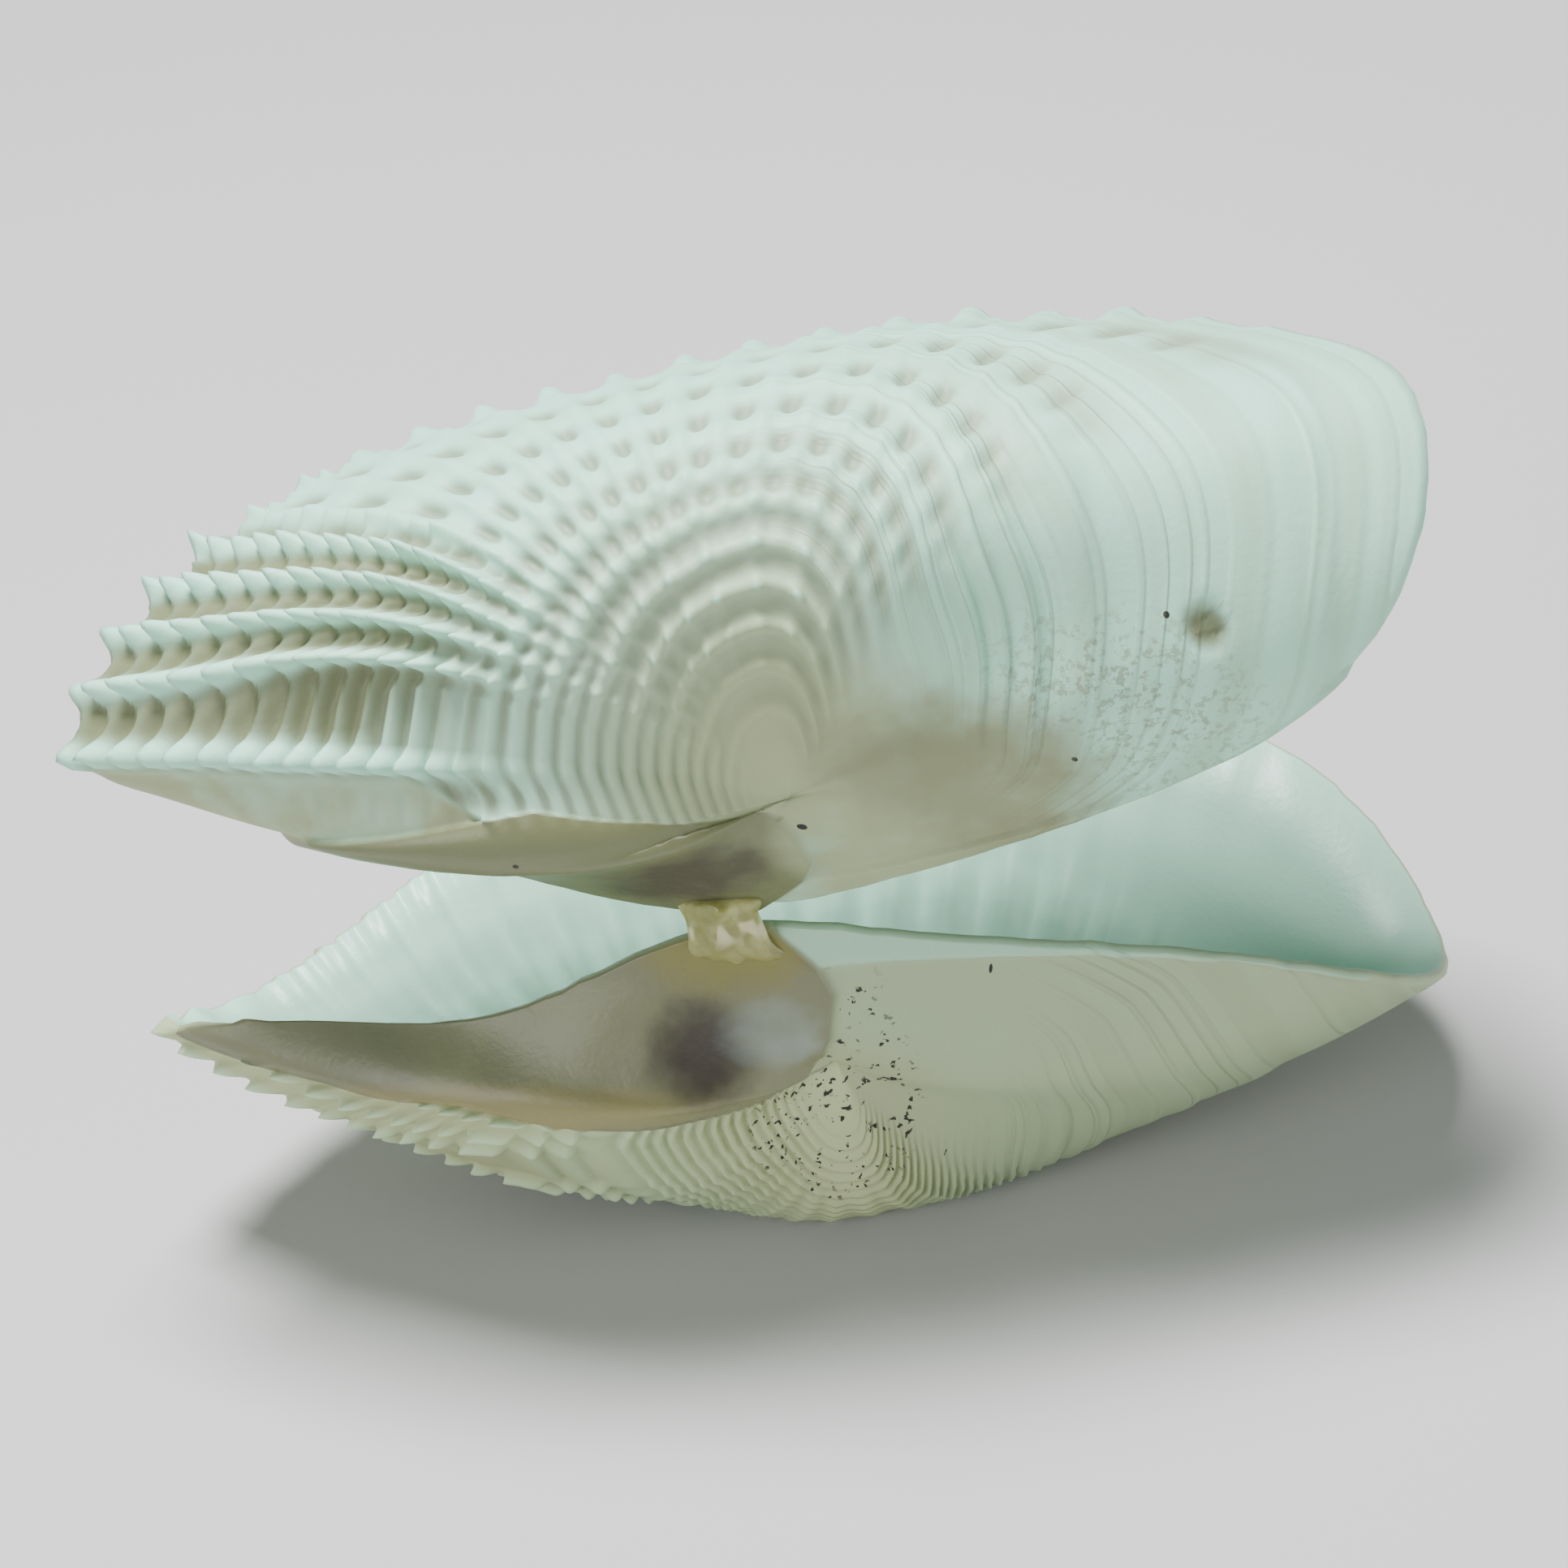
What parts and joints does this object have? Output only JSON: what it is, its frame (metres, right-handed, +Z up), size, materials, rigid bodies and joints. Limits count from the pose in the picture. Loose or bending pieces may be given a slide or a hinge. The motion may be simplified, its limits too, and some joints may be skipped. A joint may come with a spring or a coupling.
{
  "type": "opened angel-wing bivalve shell",
  "caption": "Opened white piddock (angel-wing) shell: two thin ribbed and spined valves joined at the hinge by a dried ligament, lying on the lower valve.",
  "frame": {"origin": "on the resting face's plane, at the bottom centre of the bounding box", "axes": "+X along the hinge towards the cut-off hind end, -Y on the hinge side, +Z up"},
  "size_m": [0.0518, 0.0285, 0.0383],
  "materials": {
    "left_valve": "chalky white shell with an olive tinge, satin inside",
    "right_valve": "chalky white shell, beige towards the beak and olive in the furrows",
    "ligament": "dried translucent olive-yellow tissue, partly glossy"
  },
  "bodies": {
    "root": {"left_valve": "left_valve", "right_valve": "right_valve", "ligament": "ligament"}
  },
  "joints": []
}
